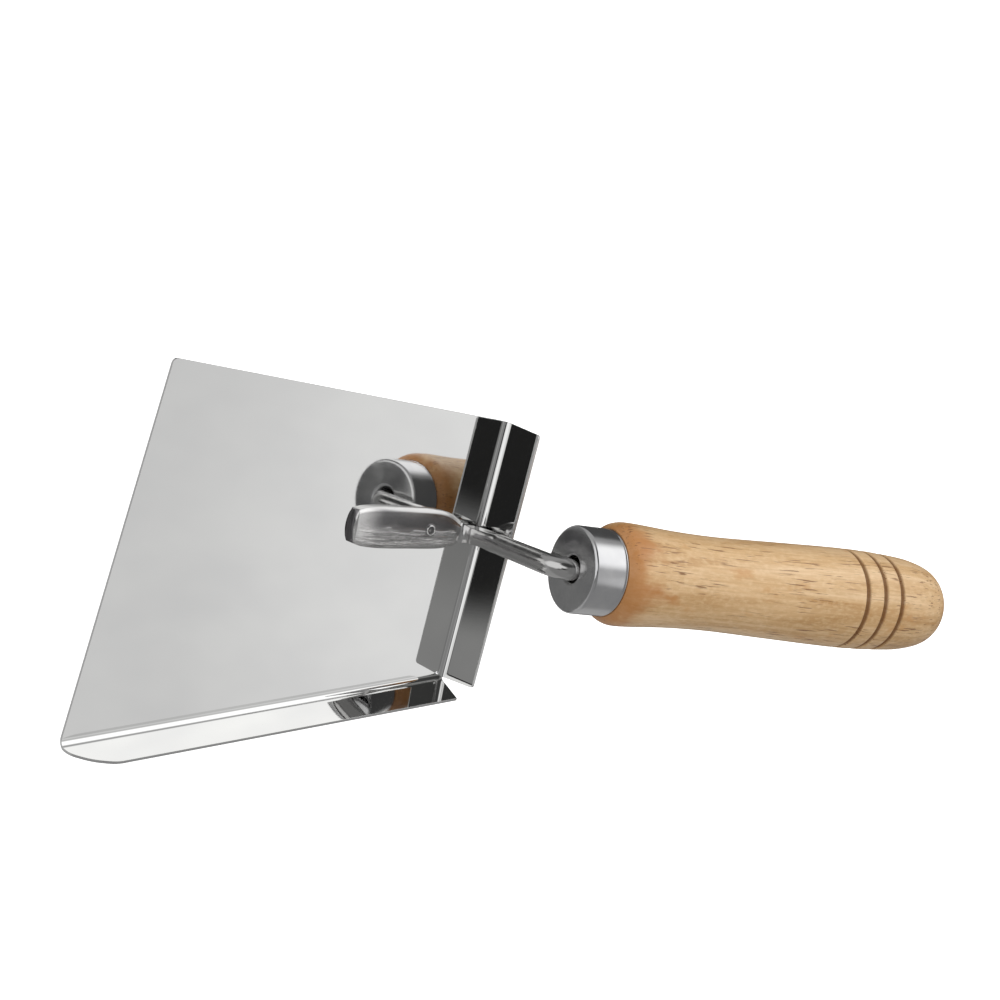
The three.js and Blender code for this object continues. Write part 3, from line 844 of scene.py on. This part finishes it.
def ferrule_steel():
    """Bright pressed steel, brushed in rings round its axis."""
    look = Look("ferrule_steel", grip)
    parts = look.node("ShaderNodeSeparateXYZ", Vector=look.place())
    radius = look.off_axis(parts)
    rings = look.node("ShaderNodeCombineXYZ", X=parts.outputs["X"], Y=radius, Z=0.0)
    brushed = look.noise(rings.outputs[0], 5.0, detail=3, rough=0.7)
    smudge = look.noise(look.place((0.12, 0.12, 0.12)), 1.0, detail=3)
    clouded = look.spread(smudge, 0.35, 0.65)
    look.shade(
        Base_Color=look.mix(clouded, *FERRULE_COLOURS),
        Metallic=1.0,
        Roughness=look.spread(smudge, 0.3, 0.7, 0.1, 0.2),
        Normal=look.bump(brushed, 0.12, 0.02 * MM),
    )
    return look.material


def handle_wood():
    """Light hardwood with long grain, short dark pores and an orange tint where it meets the ferrule."""
    look = Look("handle_wood", grip)
    wavy = look.place((0.012, 0.16, 0.16), shift=(0.3, 1.7, 0.4))
    bands = look.noise(wavy, 1.0, detail=5, rough=0.6, warp=0.8)
    fibres = look.noise(look.place((0.03, 1.7, 1.7)), 1.0, detail=5, rough=0.7)
    flecks = look.noise(look.place((0.45, 0.9, 0.9)), 1.0, detail=3, rough=0.6)
    pore_lines = look.noise(look.place((0.1, 2.0, 2.0)), 1.0, detail=3, rough=0.5)
    pore_groups = look.noise(look.place((0.035, 0.13, 0.13), shift=(1, 2, 0)), 1.0, detail=2)
    pores = look.maths(
        "MULTIPLY",
        look.spread(pore_lines, 0.585, 0.66, 0, 1, smooth=True),
        look.spread(pore_groups, 0.4, 0.56, 0, 1, smooth=True),
    )
    blotches = look.noise(look.place((0.06, 0.12, 0.12), shift=(3, 5, 2)), 1.0, detail=4, rough=0.6)

    wood = look.node("ShaderNodeValToRGB", Fac=look.spread(bands, 0.32, 0.68))
    ramp = wood.color_ramp
    ramp.elements[0].color = WOOD_BANDS[0]
    ramp.elements[1].color = WOOD_BANDS[2]
    middle = ramp.elements.new(0.5)
    middle.color = WOOD_BANDS[1]
    fibrous = look.spread(fibres, 0.35, 0.7, 0, 0.5)
    streaked = look.mix(fibrous, wood.outputs["Color"], WOOD_FIBRE)
    flecked = look.mix(look.spread(flecks, 0.45, 0.75, 0, 0.4), streaked, WOOD_FLECK)
    warm = look.mix(look.spread(blotches, 0.58, 0.7, 0, 0.6, smooth=True), flecked, WOOD_WARM)

    parts = look.node("ShaderNodeSeparateXYZ", Vector=look.place())
    along = parts.outputs["X"]
    uneven = look.maths("ADD", along, look.spread(blotches, 0.3, 0.7, 9, -9))
    tint = look.spread(uneven, FERRULE_LENGTH, FERRULE_LENGTH + TINT_REACH, 0.8, 0, smooth=True)
    tinted = look.mix(tint, warm, WOOD_TINT)
    pored = look.mix(look.maths("MULTIPLY", pores, 0.85), tinted, WOOD_PORE)

    cut_depth = None
    for place in GROOVE_PLACES:
        off = look.maths("ABSOLUTE", look.maths("SUBTRACT", along, place))
        near = look.spread(off, GROOVE_HALF_WIDTH * 0.45, GROOVE_HALF_WIDTH, 1, 0, smooth=True)
        cut_depth = look.maths("ADD", cut_depth, near) if cut_depth else near
    cut = look.mix(look.maths("MULTIPLY", cut_depth, 0.8), pored, GROOVE_BROWN)

    # Painted shade: the bore is painted dark inside.
    near_bore = look.spread(look.off_axis(parts), BORE_RADIUS + 1.5, BORE_RADIUS + 2.5, 1, 0)
    before_end = look.spread(along, SPIKE_LENGTH + 2, SPIKE_LENGTH + 3, 1, 0)
    bore_shade = look.maths("MULTIPLY", near_bore, before_end)
    colour = look.mix(bore_shade, cut, BORE_PAINTED_SHADE)
    rise = look.bump(fibres, 0.12, 0.05 * MM)
    look.shade(
        Base_Color=colour,
        Roughness=look.spread(fibres, 0.3, 0.7, 0.36, 0.5),
        Normal=look.bump(look.maths("SUBTRACT", 1.0, pores), 0.3, 0.1 * MM, rise),
        Specular_IOR_Level=look.spread(cut_depth, 0, 1, 0.5, 0.15),
        Coat_Weight=look.spread(cut_depth, 0, 1, 0.22, 0),
        Coat_Roughness=0.22,
    )
    return look.material


def pale_floor():
    """Near-white floor that glows a little, so that it stays even."""
    look = Look("pale_floor", Matrix())
    cloud = look.noise(look.place((0.002, 0.002, 0.002)), 1.0)
    look.shade(
        Base_Color=look.mix(cloud, *FLOOR_COLOURS),
        Roughness=0.9,
        Emission_Color=WHITE,
        Emission_Strength=FLOOR_GLOW,
    )
    return look.material


# ---- room ----


def make_floor():
    """A wide flat floor just under the part. The steel doesn't mirror it."""
    mesh = bpy.data.meshes.new("floor")
    far = FLOOR_REACH
    corners = ((-far, -far), (far, -far), (far, far), (-far, far))
    mesh.from_pydata([(*spot, FLOOR_LEVEL) for spot in corners], [], [(0, 1, 2, 3)])
    mesh.materials.append(pale_floor())
    floor = bpy.data.objects.new("floor", mesh)
    bpy.context.scene.collection.objects.link(floor)
    floor.visible_glossy = False
    floor.visible_diffuse = False


def make_room():
    """The studio as the steel mirrors it: pale and dark patches in a grey room, white to look at."""
    world = bpy.data.worlds.new("studio")
    bpy.context.scene.world = world
    world.use_nodes = True
    tree = world.node_tree
    nodes, links = tree.nodes, tree.links
    background = nodes["Background"]
    towards = nodes.new("ShaderNodeTexCoord").outputs["Generated"]
    shade = nodes.new("ShaderNodeRGB")
    shade.outputs[0].default_value = (ROOM_GREY, ROOM_GREY, ROOM_GREY, 1)
    light = shade.outputs[0]
    for direction, inner, outer, bright in ROOM_PATCHES:
        lean = nodes.new("ShaderNodeVectorMath")
        lean.operation = "DOT_PRODUCT"
        links.new(towards, lean.inputs[0])
        lean.inputs[1].default_value = Vector(direction).normalized()
        mask = nodes.new("ShaderNodeMapRange")
        mask.interpolation_type = "SMOOTHSTEP"
        links.new(lean.outputs["Value"], mask.inputs["Value"])
        mask.inputs["From Min"].default_value = math.cos(math.radians(outer))
        mask.inputs["From Max"].default_value = math.cos(math.radians(inner))
        mixed = nodes.new("ShaderNodeMix")
        mixed.data_type = "RGBA"
        links.new(mask.outputs[0], mixed.inputs["Factor"])
        links.new(light, mixed.inputs["A"])
        mixed.inputs["B"].default_value = (bright, bright, bright, 1)
        light = mixed.outputs["Result"]
    seen = nodes.new("ShaderNodeMix")
    seen.data_type = "RGBA"
    links.new(nodes.new("ShaderNodeLightPath").outputs["Is Camera Ray"], seen.inputs["Factor"])
    links.new(light, seen.inputs["A"])
    seen.inputs["B"].default_value = WHITE
    links.new(seen.outputs["Result"], background.inputs["Color"])


def make_light(name, direction, distance, size, power):
    """A square lamp that faces the part from a direction. It isn't seen or mirrored."""
    lamp = bpy.data.lights.new(name, "AREA")
    lamp.shape = "SQUARE"
    lamp.size = size
    lamp.energy = power
    shown = bpy.data.objects.new(name, lamp)
    bpy.context.scene.collection.objects.link(shown)
    away = Vector(direction).normalized()
    shown.location = away * distance
    shown.rotation_mode = "QUATERNION"
    shown.rotation_quaternion = away.to_track_quat("Z", "Y")
    shown.visible_glossy = False
    shown.visible_camera = False


def make_camera():
    """The camera at the photograph's viewing angle."""
    camera = bpy.data.cameras.new("camera")
    camera.lens = CAMERA_LENS
    camera.sensor_width = CAMERA_SENSOR
    camera.clip_start = CAMERA_NEAR
    shown = bpy.data.objects.new("camera", camera)
    bpy.context.scene.collection.objects.link(shown)
    back = -CAMERA_FORWARD.normalized()
    right = CAMERA_UP.cross(back).normalized()
    turn = Matrix((right, back.cross(right), back)).transposed()
    shown.matrix_world = Matrix.Translation(CAMERA_PLACE) @ turn.to_4x4()
    bpy.context.scene.camera = shown


make_camera()
make_room()
make_floor()
for lamp in LAMPS:
    make_light(*lamp)
bpy.context.scene.view_settings.view_transform = "Standard"

make_blade(polished_steel())
make_tang(forged_steel())
make_ferrule(ferrule_steel())
make_handle(handle_wood())
